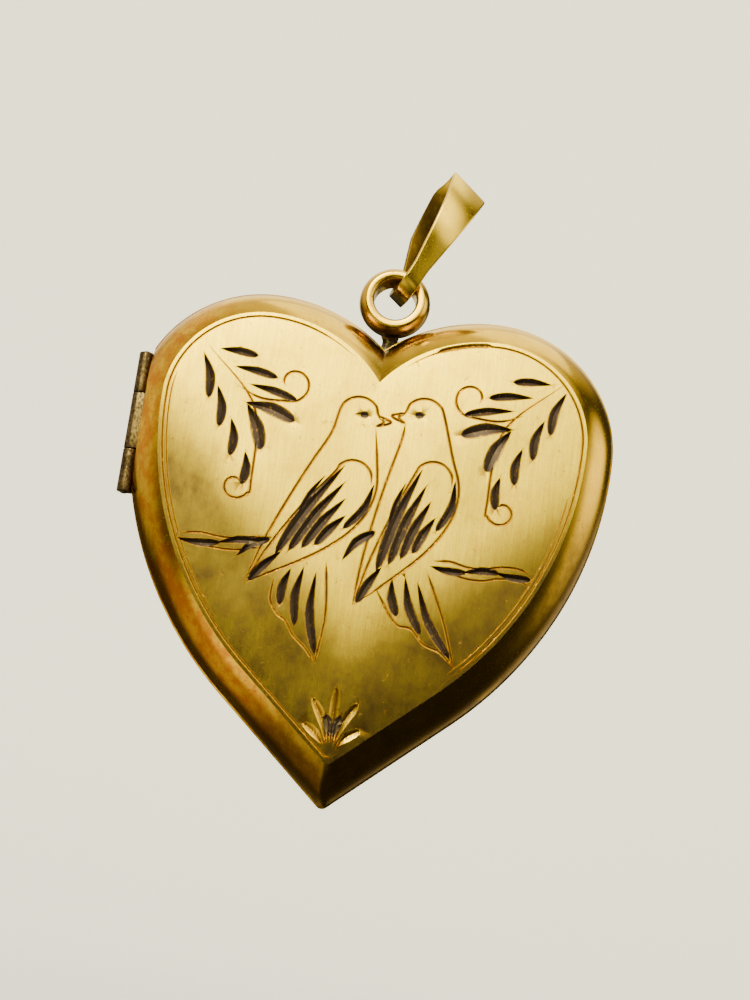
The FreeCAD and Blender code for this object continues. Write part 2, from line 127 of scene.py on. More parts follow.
# %% Sockets that can be added and multiplied
class Wire:
    """One output socket; arithmetic on it adds a Math node to its tree."""

    def __init__(self, bench, socket):
        self.bench, self.socket = bench, socket

    def sum(self, operation, *values):
        inputs = dict(enumerate(values))
        return self.bench.add("Math", {"operation": operation}, inputs)

    def __add__(self, other):
        return self.sum("ADD", self, other)

    def __mul__(self, other):
        return self.sum("MULTIPLY", self, other)

    def __sub__(self, other):
        return self.sum("SUBTRACT", self, other)

    def __rsub__(self, other):
        return self.sum("SUBTRACT", other, self)

    def size(self):
        """The value without its sign."""
        return self.sum("ABSOLUTE", self)

    def step(self, low, high):
        """0 below low, 1 above high, and a smooth rise between."""
        inputs = {"Value": self, "From Min": low, "From Max": high}
        return self.bench.add("MapRange", {"interpolation_type": "SMOOTHSTEP"}, inputs)

    __radd__ = __add__
    __rmul__ = __mul__


class Bench:
    """The node tree of one finish or of the room's light."""

    def __init__(self, owner):
        owner.use_nodes = True
        self.owner, self.tree = owner, owner.node_tree
        self.tree.nodes.clear()

    def add(self, kind, settings=None, inputs=None, output=0):
        """Add any node: its settings first, then the values or wires of its sockets."""
        node = self.tree.nodes.new("ShaderNode" + kind)
        for key, value in (settings or {}).items():
            setattr(node, key, value)
        for key, value in (inputs or {}).items():
            if isinstance(value, Wire):
                self.tree.links.new(value.socket, node.inputs[key])
            else:
                node.inputs[key].default_value = value
        return Wire(self, node.outputs[output]) if node.outputs else None

    def mix(self, factor, first, second):
        """A colour between two colours."""
        return self.add("Mix", {"data_type": "RGBA"}, {0: factor, 6: first, 7: second}, 2)

    def noise(self, place, stretch, detail=3.0, rough=0.55):
        """Noise whose grains are 1 / stretch millimetres long on each axis."""
        scaled = self.add("VectorMath", {"operation": "MULTIPLY"}, {0: place, 1: stretch})
        return self.add("TexNoise", None, {"Vector": scaled, "Scale": 1.0, "Detail": detail, "Roughness": rough})

    def place(self):
        """Object coordinates as millimetres in the case's own frame."""
        spot = self.add("TexCoord", None, None, "Object")
        return self.add("Mapping", None, {"Vector": spot, "Location": -CASE, "Scale": (1 / MM,) * 3})

    def split(self, place):
        """The X, Y and Z of a place: across, depth and up."""
        return [self.add("SeparateXYZ", None, {0: place}, axis) for axis in "XYZ"]


def rgb(red, green, blue):
    return (red, green, blue, 1.0)


BUMP_HEIGHT = 0.02


def metal(bench, colour, roughness, height, strength, metallic=1.0):
    """Close a finish: a Principled surface with a bump of at most a fiftieth of a millimetre."""
    bump = bench.add("Bump", None, {"Height": height, "Strength": strength, "Distance": BUMP_HEIGHT * MM})
    skin = bench.add("BsdfPrincipled", None, {
        "Base Color": colour, "Roughness": roughness, "Metallic": metallic, "Normal": bump,
    })
    bench.add("OutputMaterial", None, {"Surface": skin})
    return bench.owner


# %% [markdown]
# ## Satin gold for the engraved face
# The pressed face was brushed up and down before it was engraved. Long thin noise makes the brushing, and
# wide soft noise makes the brassy and olive clouds that years of wear leave. Painted shade darkens the
# face towards its two straight lower edges, and a narrow stain runs along both sides of every cut, carried
# by the mesh as an attribute: 0 on clean metal, 1 at a cut's side and 2 at its bottom.

# %% Face finish
def satin_face():
    bench = Bench(bpy.data.materials.new("satin_gold_face"))
    place = bench.place()
    across, _, up = bench.split(place)
    brushing = bench.noise(place, (14.0, 4.0, 0.40), 5.0, 0.75)
    fine = bench.noise(place, (26.0, 9.0, 9.0), 4.0, 0.75)
    clouds = bench.noise(place, (0.22, 0.3, 0.16), 4.0, 0.62)
    patches = bench.noise(place, (0.75, 1.0, 0.55), 5.0, 0.7)
    spots = bench.noise(place, (2.1, 1.0, 1.9), 5.0, 0.7)
    stain = bench.add("Attribute", {"attribute_name": "stain"}, None, "Fac")
    from_edge = 12.16 - across.size() * 0.656 + up * 0.755
    # Painted shade: the face is painted darker towards its two straight lower edges, a little more on the left.
    darkening = (from_edge + across * 0.10).step(9.6, 5.0)
    tarnish_and_shade = clouds.step(0.50, 0.76) * 0.22 + darkening * (0.72 + patches * 0.36)
    pits = spots.step(0.62, 0.71)
    colour = bench.mix(brushing.step(0.30, 0.72), rgb(0.74, 0.51, 0.008), rgb(0.96, 0.75, 0.014))
    colour = bench.mix(patches.step(0.46, 0.64) * 0.35, colour, rgb(0.62, 0.37, 0.014))
    colour = bench.mix(fine.step(0.46, 0.68) * 0.42, colour, rgb(0.34, 0.215, 0.030))
    # The tarnish clouds and the painted shade of the lower edges darken the colour.
    colour = bench.mix(tarnish_and_shade, colour, rgb(0.100, 0.068, 0.028))
    colour = bench.mix(pits * 0.6, colour, rgb(0.26, 0.12, 0.012))
    colour = bench.mix(stain.step(0.0, 1.0) * 0.62, colour, rgb(0.36, 0.185, 0.012))
    roughness = 0.20 + brushing * 0.12 + fine * 0.05 + patches * 0.06 + pits * 0.12
    return metal(bench, colour, roughness, brushing * 0.6 + fine * 0.7 + patches * 0.9 - pits * 0.6, 0.50)


SATIN = satin_face()

# %% [markdown]
# ## Polished gold, with amber wear and painted shade
# The rolled edges, ring, bail and back were only polished. They have fine scratches, fingerprints that
# change the gloss, and coppery wear low on the hinge side where the thin gold has rubbed through, painted
# stronger there as a warm reflection as well. Painted shade darkens the cleft, the lower right edge, the
# low part of the ring and the bail's bend and back leaf.

# %% Polished finish
def polished(name, amber_strength, base, shade, gloss, darkening):
    """Polished gold; darkening is a function of across, depth and up that says where the colour is darkened, as
    painted shade on the covers, ring and bail.
    """
    bench = Bench(bpy.data.materials.new(name))
    place = bench.place()
    across, depth, up = bench.split(place)
    clouds = bench.noise(place, (0.35, 0.5, 0.3), 5.0, 0.65)
    smears = bench.noise(place, (1.3, 1.6, 0.9), 6.0, 0.7)
    scratches = bench.noise(place, (3.0, 20.0, 14.0), 4.0, 0.75)
    specks = bench.noise(place, (5.5, 6.0, 5.0), 4.0, 0.6)
    # Coppery wear low on the hinge side, which is also a painted warm reflection there.
    left_low = (0.0 - across - up * 0.35).step(1.5, 9.0)
    amber_wear_and_reflection = left_low * smears.step(0.36, 0.62) * amber_strength
    # Painted shade where the darkening function says: a dark brown, with a little more roughness.
    dark_share = darkening(across, depth, up) * (0.55 + smears * 0.7)
    colour = bench.mix(clouds.step(0.35, 0.7) * 0.55, base, shade)
    colour = bench.mix(amber_wear_and_reflection, colour, rgb(0.60, 0.215, 0.010))
    colour = bench.mix(dark_share, colour, rgb(0.135, 0.080, 0.012))
    colour = bench.mix(specks.step(0.62, 0.74) * 0.7, colour, rgb(0.15, 0.075, 0.012))
    roughness = gloss + smears * 0.16 + dark_share * 0.10 + specks.step(0.6, 0.75) * 0.25
    return metal(bench, colour, roughness, scratches * 0.35 + smears * 0.8, 0.16)


def cleft_and_edge_shade(across, depth, up):
    """Painted shade in the cleft, and a painted dark reflection along the lower right edge."""
    # Painted shade: darker in the cleft, below the ring.
    cleft = (1.7 - across.size()).step(0.0, 1.5) * (up - 6.0).step(0.0, 2.0)
    # Painted dark reflection: darker along the lower right edge.
    return cleft * 0.8 + (across * 0.8 - up).step(5.0, 11.0) * 0.95


ROLLED = polished("polished_gold_edge", 0.85, rgb(0.88, 0.57, 0.022), rgb(0.56, 0.35, 0.018), 0.10, cleft_and_edge_shade)
# Painted shade: the lower part of the ring, except at its front, is painted darker.
RINGED = polished(
    "polished_gold_ring", 0.0, rgb(0.90, 0.60, 0.050), rgb(0.50, 0.32, 0.035), 0.12,
    lambda across, depth, up: (14.6 - up).step(0.0, 2.2) * (depth + 1.05).step(0.0, 0.4),
)
# Painted shade: the bail is painted darker at its low bend and much darker on its back leaf.
BAILED = polished(
    "polished_gold_bail", 0.0, rgb(0.95, 0.68, 0.050), rgb(0.80, 0.54, 0.035), 0.15,
    lambda across, depth, up: (16.3 - up).step(0.0, 1.1) * 0.4 + depth.step(-0.1, 0.7) * 1.1,
)
BACKED = polished("polished_gold_back", 0.35, rgb(0.86, 0.56, 0.030), rgb(0.56, 0.36, 0.025), 0.16, cleft_and_edge_shade)
# The inner gold is a little darker towards its left and right sides.
LINED = polished(
    "inner_gold", 0.0, rgb(0.90, 0.60, 0.06), rgb(0.68, 0.43, 0.04), 0.18,
    lambda across, depth, up: (across.size() - 11.0).step(0.0, 2.0) * 0.3,
)


# %% [markdown]
# ## Dark cuts and small trim
# A graver leaves bright walls that darken with age, so the wide cuts are nearly black with a few glints
# and the thin lines are golden brown. The hinge is worn base metal, the solder is dull, the windows are
# clear plastic and the cards are plain paper.

# %% Cut, line, hinge, solder, window and card finishes
def aged(name, dark, bright, share, grain, rough, strength=0.5, metallic=1.0):
    """Two tones in grains: share is the noise value above which the bright one shows."""
    bench = Bench(bpy.data.materials.new(name))
    place = bench.place()
    grains = bench.noise(place, grain, 5.0, 0.7)
    broad = bench.noise(place, (0.8, 0.9, 0.7), 3.0, 0.5)
    mask = (grains * 0.75 + broad * 0.25).step(share - 0.06, share + 0.06)
    colour = bench.mix(mask, dark, bright)
    return metal(bench, colour, rough - mask * 0.15, grains, strength, metallic)


def graver_cut(name, dark, bright, side, share, rough):
    """Gold at a cut's sides gives way to dark metal at its bottom, broken by glints along the graver's path."""
    bench = Bench(bpy.data.materials.new(name))
    place = bench.place()
    deep = bench.add("Attribute", {"attribute_name": "stain"}, None, "Fac") - 1.0
    streaks = bench.noise(place, (6.0, 4.0, 2.6), 5.0, 0.75)
    ragged = (deep + streaks * 1.1 - 0.55).step(0.0, side)
    glints = streaks.step(share - 0.04, share + 0.05)
    colour = bench.mix(ragged, bright, dark)
    colour = bench.mix(glints * 0.75, colour, bright)
    return metal(bench, colour, rough - glints * 0.16, streaks, 0.55)


CUT = graver_cut("darkened_cut", rgb(0.088, 0.064, 0.046), rgb(0.46, 0.28, 0.040), 0.30, 0.62, 0.46)
LINE = graver_cut("brown_line", rgb(0.27, 0.140, 0.012), rgb(0.80, 0.52, 0.03), 0.70, 0.55, 0.36)
HINGE = aged("hinge_metal", rgb(0.062, 0.043, 0.021), rgb(0.18, 0.13, 0.068), 0.50, (7.0, 7.0, 5.0), 0.52, 0.6)
SOLDER = aged("solder", rgb(0.05, 0.04, 0.028), rgb(0.24, 0.18, 0.09), 0.56, (5.0, 5.0, 5.0), 0.55, 0.8)
CARD = aged("card", rgb(0.60, 0.54, 0.44), rgb(0.74, 0.69, 0.59), 0.5, (9.0, 4.0, 9.0), 0.92, 0.4, 0.0)


def clear_plastic():
    """A clear sheet with faint smears, mostly see-through and glossy."""
    bench = Bench(bpy.data.materials.new("clear_window"))
    place = bench.place()
    smears = bench.noise(place, (0.5, 1.0, 0.35), 5.0, 0.7)
    skin = bench.add("BsdfPrincipled", None, {
        "Base Color": rgb(0.86, 0.86, 0.82), "Roughness": 0.04 + smears * 0.10,
        "Alpha": 0.16 + smears.step(0.5, 0.8) * 0.08,
    })
    bench.add("OutputMaterial", None, {"Surface": skin})
    return bench.owner


WINDOW = clear_plastic()
print("finishes:", [material.name for material in bpy.data.materials])

# %% [markdown]
# ## The heart and its insets
# One heart is three arcs and a straight run on each side. On the left it is cut off by the hinge's flat,
# which only the outermost rings reach; on the inner rings it moves inward with them, which keeps the wall
# whole. Moved inward the heart keeps the arcs' centres, so all rings have the same number of points in the
# same order, and a cover's rolled edge is a stack of such rings.

# %% Heart rings and lofts
def bow(centre, radius, first, last, count):
    """Centre plus radius times cosine and sine of evenly spaced angles; the last point is left out."""
    turn = np.radians(np.linspace(first, last, count, endpoint=False))
    return np.stack([centre[0] + radius * np.cos(turn), centre[1] + radius * np.sin(turn)], 1)


def straight(start, end, count):
    """Evenly spaced points from start towards end; the last point is left out."""
    share = np.linspace(0, 1, count, endpoint=False)[:, None]
    return (1 - share) * start + share * end


def heart_ring(inset, inner=False):
    """The heart moved inward, clockwise from the cleft; the hinge's flat moves inward only on inner rings."""
    lobe, shoulder, side = LOBE_RADIUS - inset, SHOULDER_RADIUS - inset, SIDE_RADIUS - inset
    flat = FLAT_X - inset if inner else min(FLAT_X, LOBE[0] + lobe - 0.01)
    side_x, shoulder_z = LOBE[0] + lobe - side, LOBE[1] + lobe - shoulder
    cleft = np.degrees(np.arccos(-LOBE[0] / shoulder))
    side_turn = np.degrees(np.arccos((flat - side_x) / side))
    lobe_turn = np.degrees(np.arccos((flat - LOBE[0]) / lobe))
    slope = np.radians(TIP_ANGLE)
    lean = np.array([np.cos(slope), -np.sin(slope)])
    foot = np.array([side_x, LOBE[1]]) + side * lean
    nose = np.array([0, foot[1] - foot[0] / np.tan(slope) + TIP_ROUND / np.sin(slope)])
    edge, mirror = nose + TIP_ROUND * lean, np.array([-1, 1])
    seat_low = np.array([-flat, LOBE[1] - side * np.sin(np.radians(side_turn))])
    seat_high = np.array([-flat, LOBE[1] + lobe * np.sin(np.radians(lobe_turn))])
    return np.concatenate([
        bow((LOBE[0], shoulder_z), shoulder, cleft, 90, 40),
        bow(LOBE, lobe, 90, 0, 64),
        bow((side_x, LOBE[1]), side, 0, -TIP_ANGLE, 72),
        straight(foot, edge, 22),
        bow(nose, TIP_ROUND, -TIP_ANGLE, TIP_ANGLE - 180, 12),
        straight(edge * mirror, foot * mirror, 22),
        bow((-side_x, LOBE[1]), side, 180 + TIP_ANGLE, 180 + side_turn, 54),
        straight(seat_low, seat_high, 20),
        bow((-LOBE[0], LOBE[1]), lobe, 180 - lobe_turn, 90, 46),
        bow((-LOBE[0], shoulder_z), shoulder, 90, 180 - cleft, 40),
    ])


def heart_loft(profile, direction=1, inner=False):
    """Rings stacked along a profile of (inset, depth) pairs; depth runs along Y in the given direction."""
    rings = np.stack([heart_ring(inset, inner) for inset, _ in profile])
    depth = np.broadcast_to(direction * np.array([d for _, d in profile])[:, None], rings.shape[:2])
    return np.stack([rings[..., 0], depth, rings[..., 1]], -1)


def roll(radius, first_depth, last_depth, count):
    """The rolled edge as (inset, depth): an arc that starts above the lip, 18 degrees off the seam's normal."""
    start = np.radians(ROLL_START)
    depth = np.linspace(first_depth, last_depth, count)
    height = depth - LIP_HEIGHT + ROLL_RADIUS * np.sin(start)
    inset = LIP_STEP + ROLL_RADIUS * np.cos(start) - np.sqrt(radius**2 - height**2)
    return np.stack([inset, depth], 1).tolist()


OUTLINE = heart_ring(0)
crease_inset = roll(ROLL_RADIUS, LIP_HEIGHT, CREASE_DEPTH, 2)[1][0]
print("points round a ring:", len(OUTLINE), "crease inset:", round(crease_inset, 3))

# %% [markdown]
# ## Strokes of the graver
# A stroke is a smooth line through a few points with a width that swells and fades. A leaf is cut with
# one push of a broad graver, so it is a short pointed lens; outlines are thin lines of even width. Every
# stroke is a V-shaped groove: deepest on its middle line and nothing at its two sides.

# %% Strokes
def smooth_line(points, count):
    """A Catmull-Rom curve: each span is a cubic through its two ends with slopes from their neighbours."""
    knots = np.array(points, float)
    knots = np.vstack([2 * knots[0] - knots[1], knots, 2 * knots[-1] - knots[-2]])
    travel = np.linspace(0, len(points) - 1, count)
    span = np.minimum(travel.astype(int), len(points) - 2)
    t = (travel - span)[:, None]
    a, b, c, d = (knots[span + k] for k in range(4))
    return 0.5 * (2 * b + (c - a) * t + (2 * a - 5 * b + 4 * c - d) * t**2 + (3 * b - a - 3 * c + d) * t**3)


def line(points, width=0.17, depth=0.06):
    """An even line whose ends fade over a tenth of its length."""
    middle = smooth_line(points, 7 * len(points))
    share = np.linspace(0, 1, len(middle))
    half = width / 2 * np.clip(np.minimum(share, 1 - share) * 10, 0.02, 1)
    return middle, half, depth, 2


def leaf(start, end, width, bend=0.0, depth=0.15, kind=1):
    """A lens that swells from a sharp start, is widest past its middle and ends blunt; bend bows it sideways."""
    start, end = np.array(start), np.array(end)
    run = end - start
    middle = smooth_line([start, (start + end) / 2 + bend * np.array([run[1], -run[0]]), end], 17)
    share = np.linspace(0, 1, 17)
    swell = np.clip(share / 0.5, 0.01, 1) ** 0.75
    blunt = np.sqrt(np.clip(1 - (np.clip(share - 0.66, 0, 1) / 0.34) ** 2, 0.002, 1))
    return middle, 0.54 * width * swell * blunt, depth, kind


def dot(centre, radius):
    """A short blunt cut nearly as wide as it is long, for an eye."""
    share = np.linspace(-1, 1, 9)
    middle = np.array(centre) + radius * share[:, None] * np.array([1.0, 0.1])
    return middle, radius * np.sqrt(np.clip(1 - share**2, 0.002, 1)), 0.09, 1


def heading(degrees):
    """The unit vector at an angle from the X axis."""
    return np.array([np.cos(np.radians(degrees)), np.sin(np.radians(degrees))])


# %% [markdown]
# ## Scrolls and leaves
# The two upper corners hold the same spray, mirrored: two stems that wind up into curls, and rows of leaf
# cuts beside them. A curl is a spiral, so it is written as one, and a row of leaves only needs its first
# and last root, one aim, and how much the aim turns from leaf to leaf.

# %% A spray of scrolls
def scroll(start, eye, radius, first, winding, bulge):
    """A bulging stem to the curl's rim, then a spiral about the eye whose radius falls to two fifths."""
    share = np.linspace(0, 1, 9)[:, None]
    turn = np.radians(first + winding * share)
    curl = np.array(eye) + radius * (1 - 0.6 * share) * np.hstack([np.cos(turn), np.sin(turn)])
    run = curl[0] - start
    return line([start, (start + curl[0]) / 2 + bulge * np.array([-run[1], run[0]]), *curl], 0.16)


def leaf_row(first, last, count, aim, fan, lengths, width, bend=-0.08):
    """Leaves whose roots are spread evenly from first to last; each next one is turned by the fan angle."""
    roots = np.linspace(first, last, count)
    sizes = np.linspace(*lengths, count)
    return [
        leaf(root, root + size * heading(aim + fan * k), width, bend)
        for k, (root, size) in enumerate(zip(roots, sizes))
    ]


def spray(mirror, shift):
    """The left corner's spray, multiplied across by the mirror sign and then moved by the shift."""
    strokes = [
        scroll((-10.0, 9.1), (-7.3, 1.1), 0.90, 15, -330, 0.17),
        scroll((-7.9, 6.9), (-4.9, 7.5), 1.15, -105, 310, -0.10),
        *leaf_row((-10.2, 8.6), (-7.0, 3.1), 4, -76, -4, (2.7, 1.9), 0.52),
        *leaf_row((-9.3, 9.0), (-7.3, 7.1), 3, -4, -4, (2.2, 2.8), 0.46, -0.03),
        *leaf_row((-7.4, 6.0), (-7.3, 5.9), 2, -14, -52, (3.0, 2.8), 0.74, -0.06),
    ]
    return [(middle * [mirror, 1] + shift, half, depth, kind) for middle, half, depth, kind in strokes]


print("strokes in a spray:", len(spray(1, [0, 0])))

# %% [markdown]
# ## A small bird
# Both birds are one drawing. An axis runs from the head to the wing tip; the side under the wing is
# nearly straight, the other bulges like the upper half of a drop, and the head is an arc that can look
# either way. Wing and tail feathers are fans of leaf cuts.

# %% Birds
def bird(head, lean, facing, tail):
    """The axis leans from the vertical, facing is 1 or -1, and tail is the angle of the tail's first feather."""
    head, length = np.array(head), 11.6
    down, side = heading(-90 - lean), heading(-lean)

    def spot(along, across):
        return head + along * down + across * side

    def edge(share, swell):
        return [spot(length * s, swell(s)) for s in share]

    straight_side = edge(np.linspace(0.15, 1, 6), lambda s: -0.75 * (1 - s**3))
    full_side = edge(np.linspace(0.14, 1, 8), lambda s: 3.5 * np.sin(np.pi * s**0.75))
    back, breast = (straight_side, full_side) if facing > 0 else (full_side, straight_side)
    crown = [head + 1.15 * heading(a) * [facing, 1] for a in np.linspace(8, 165, 6)]
    beak_tip, beak_top, beak_low = (head + [facing * x, z] for x, z in ((1.85, -0.12), (1.10, 0.16), (1.02, -0.5)))
    arch = [spot(3.3, 1.75) + 1.1 * heading(a) for a in np.linspace(-10, 170, 6)]
    strokes = [
        line([beak_tip, *crown, *back]), line([head + [facing * 1.02, -0.5], *breast]),
        line([beak_top, beak_tip, beak_low], 0.16, 0.08),
        line([beak_low, (beak_tip + beak_low) / 2 + [0, 0.14], beak_top]),
        dot(head + [facing * 0.3, 0.12], 0.22),
        line([*arch, spot(6.0, 0.25), spot(9.0, 0.0), spot(length, 0)]),
        leaf(spot(9.0, 0.75), spot(11.4, 0.15), 0.50, 0.03), leaf(spot(2.9, 2.95), spot(6.0, 2.9), 0.46, -0.10),
        leaf(spot(4.0, 0.35), spot(6.6, 0.3), 0.26, 0.04),
    ]
    for k in range(4):
        root, end = spot(2.9 + 0.8 * k, 0.95 + 0.55 * k), spot(9.3 - 0.55 * k, 0.55 + 0.52 * k)
        strokes.append(leaf(root, end, 0.62 - 0.03 * k, 0.03))
    roots = [spot(8.6, 2.1) + [0.72 * (k - 1), -0.5 - 0.2 * abs(k - 1)] for k in range(3)]
    ends = [root + (2.1 + 1.25 * k) * heading(tail + 8 * k) for k, root in enumerate(roots)]
    strokes += [leaf(root, end, 0.52, 0.07) for root, end in zip(roots, ends)]
    rim = [roots[0] + [-0.85, -0.6]]
    for k, end in enumerate(ends):
        rim += [end + [-0.55, 0.25], end + 0.5 * heading(tail + 8 * k)]
    return strokes + [line(rim), line([roots[2] + [0.5, 0.6], (roots[2] + ends[2]) / 2 + [0.55, 0], rim[-1]])]


print("strokes in a bird:", len(bird((0, 0), 20, 1, -90)))

# %% [markdown]
# ## Twig, sprig and the whole pattern
# The birds sit on a wavy twig: two sine lines with leaf cuts between them. A fan of leaves fills the
# heart's tip.

# %% Twig, sprig and the list of strokes
def twig(start, end, cuts, gap):
    """Two lines half a gap above and below a sine wave from start to end, with leaf cuts between them."""
    share = np.linspace(0, 1, 2 * cuts + 1)[:, None]
    middle = (1 - share) * np.array(start) + share * np.array(end) + [0, 0.15] * np.sin(np.pi * cuts * share + 0.6)
    leaves = [leaf(middle[2 * k] - [0.15, 0], middle[2 * k + 2], 0.44, 0.05 * (-1) ** k) for k in range(cuts)]
    return [line(middle + [0, gap / 2], 0.15), line(middle[1:] - [0, gap / 2], 0.15), *leaves]


def sprig(foot, count, spread, lengths, kind):
    """A fan of leaves: aims spread evenly about straight up, longest in the middle."""
    aims = np.linspace(90 - spread, 90 + spread, count)
    sizes = lengths[0] + (lengths[1] - lengths[0]) * np.cos(np.radians(aims - 90)) ** 3
    return [leaf(foot + 0.5 * heading(a), foot + n * heading(a), 0.48, 0.06 * np.sign(a - 90), 0.1, kind)
            for a, n in zip(aims, sizes)]


STROKES = spray(1, [0, 0]) + spray(-1, [0.5, 0.5])
STROKES += bird((-0.9, 6.1), 26, 1, -99) + bird((2.8, 6.5), 13, -1, -76)
STROKES += twig((-9.9, -2.4), (-5.4, -2.0), 2, 0.66) + twig((4.4, -2.1), (9.9, -1.9), 3, 0.66)
STROKES += [leaf((-0.7, -2.3), (0.9, -0.5), 0.52, -0.10), leaf((-6.6, -2.9), (-4.9, -1.7), 0.50, -0.10)]
STROKES += sprig(np.array([0, -13.0]), 5, 48, (1.4, 3.6), 2) + sprig(np.array([0, -12.7]), 2, 14, (0.9, 1.8), 1)
print("strokes:", len(STROKES))

# %% [markdown]
# ## Cutting the face
# The face is a triangle net that keeps every stroke's two sides and its middle line as edges, so that the
# cuts stay crisp without a dense grid. Heights come afterwards from one function of place: the softly
# domed sheet, less the deepest groove at that place.

# %% Depth of the engraving and of the domed sheet
FACE_DEPTH = 2.03


def nearest(points, middle, half):
    """For each point, its distance to a stroke's middle line and the stroke's half width there."""
    start, run = middle[:-1], np.diff(middle, axis=0)
    offset = points[:, None] - start
    share = np.clip((offset * run).sum(-1) / np.maximum((run**2).sum(-1), 1e-12), 0, 1)
    gap = np.linalg.norm(offset - share[..., None] * run, axis=-1)
    width = half[:-1] + share * np.diff(half)
    best = np.argmin(gap - width, axis=1)
    pick = np.arange(len(points)), best
    return gap[pick], width[pick]


def engraving(points, strokes):
    """Groove depth, which finish shows and how stained the metal is, the deepest stroke winning."""
    depth, finish, stain = np.zeros(len(points)), np.zeros(len(points), int), np.zeros(len(points))
    for middle, half, deepest, kind in strokes:
        near = np.flatnonzero(np.all((points > middle.min(0) - 0.5) & (points < middle.max(0) + 0.5), axis=1))
        if len(near) == 0:
            continue
        gap, width = nearest(points[near], middle, half)
        groove = deepest * np.clip(1 - gap / width, 0, 1)
        inside = groove > 1e-5
        finish[near[inside]] = np.where(finish[near[inside]] == 1, 1, kind)
        depth[near] = np.maximum(depth[near], groove)
        beside = np.clip(1 - (gap - width) / 0.06, 0, 1) + groove / deepest
        stain[near] = np.maximum(stain[near], beside)
    return depth, finish, stain


def inset_of(points):
    """Distance of each point from the seam outline."""
    return nearest(points, np.vstack([OUTLINE, OUTLINE[:1]]), np.zeros(len(OUTLINE) + 1))[0]


def sheet_depth(points, ring):
    """The sheet rises 0.22 mm from the ring of its crease, fast at first, and has long shallow dents."""
    inward = nearest(points, np.vstack([ring, ring[:1]]), np.zeros(len(ring) + 1))[0]
    rise = 0.22 * (1 - np.exp(-inward / 2.4))
    dents = 0.020 * np.sin(0.75 * points[:, 0] + 0.5) * np.sin(0.6 * points[:, 1] + 1.0)
    return FACE_DEPTH + rise + (dents - 0.020) * np.clip(inward / 2, 0, 1)


def face_patch(ring_inset, strokes, direction, finish, spacing, depth_at, inner=False):
    """Triangles inside one heart ring that keep the strokes' lines, raised to their heights."""
    ring = heart_ring(ring_inset, inner)
    low, high = ring.min(0), ring.max(0)
    net = np.stack(np.meshgrid(*(np.arange(a, b, spacing) for a, b in zip(low, high))), -1).reshape(-1, 2)
    net[:, 0] += 0.5 * spacing * (np.arange(len(net)) // len(np.arange(low[0], high[0], spacing)) % 2)
    net = net[inset_of(net) > ring_inset + 0.6]
    net = net[inside_heart(net)]
    lines, closed = [ring], [True]
    for middle, half, _, _ in strokes:
        slope = np.gradient(middle, axis=0)
        side = np.stack([-slope[:, 1], slope[:, 0]], 1) / np.linalg.norm(slope, axis=1)[:, None]
        for reach in (half, half + 0.06):
            offset = side * reach[:, None]
            lines.append(np.vstack([middle + offset, (middle - offset)[::-1]]))
            closed.append(True)
        lines.append(middle)
        closed.append(False)
    starts = np.cumsum([0] + [len(part) for part in lines])
    edges = [
        np.stack([np.arange(len(part)), (np.arange(len(part)) + 1) % len(part)], 1)[: len(part) - (not loop)] + start
        for part, loop, start in zip(lines, closed, starts)
    ]
    flat = np.vstack(lines + [net])
    outer = list(range(len(ring)))
    made = delaunay_2d_cdt(flat.tolist(), np.vstack(edges).tolist(), [outer], 1, 1e-4)
    points, faces = np.array([tuple(p) for p in made[0]]), np.array(made[2])
    centres = points[faces].mean(1)
    depth, _, stain = engraving(points, strokes)
    kinds = engraving(centres, strokes)[1]
    height = direction * (depth_at(points, ring) - depth)
    finishes = np.where(kinds > 0, kinds, finish)
    return np.stack([points[:, 0], height, points[:, 1]], 1), faces, finishes, stain


def inside_heart(points):
    """True inside the seam outline: the winding angle of the outline about the point isn't zero."""
    spokes = OUTLINE[None] - points[:, None]
    turned = np.roll(spokes, -1, axis=1)
    cross = spokes[..., 0] * turned[..., 1] - spokes[..., 1] * turned[..., 0]
    return np.abs(np.arctan2(cross, (spokes * turned).sum(-1)).sum(1)) > 3.0


# %% [markdown]
# ## The two covers
# Each cover is one closed shell: a flat land at the seam, a lip with a fine step above it, the rolled
# edge, the face, and the same again inside, one wall further in. Only the front face is engraved.

# %% Covers
def border_line(inset, first, last, width, depth):
    """A thin line that follows the face's edge over a share of the way round."""
    ring = heart_ring(inset)
    picked = ring[int(first * len(ring)) : int(last * len(ring))]
    share = np.linspace(0, 1, len(picked))
    half = width / 2 * np.clip(np.minimum(share, 1 - share) * 12, 0.02, 1)
    return picked, half, depth, 2


BORDERS = [
    border_line(2.02, 0.03, 0.445, 0.13, 0.05), border_line(2.30, 0.30, 0.44, 0.08, 0.03),
    border_line(2.02, 0.505, 0.97, 0.13, 0.05), border_line(2.26, 0.62, 0.80, 0.08, 0.03),
    border_line(1.98, 0.055, 0.10, 0.30, 0.08),
]


SEAM = 0.008


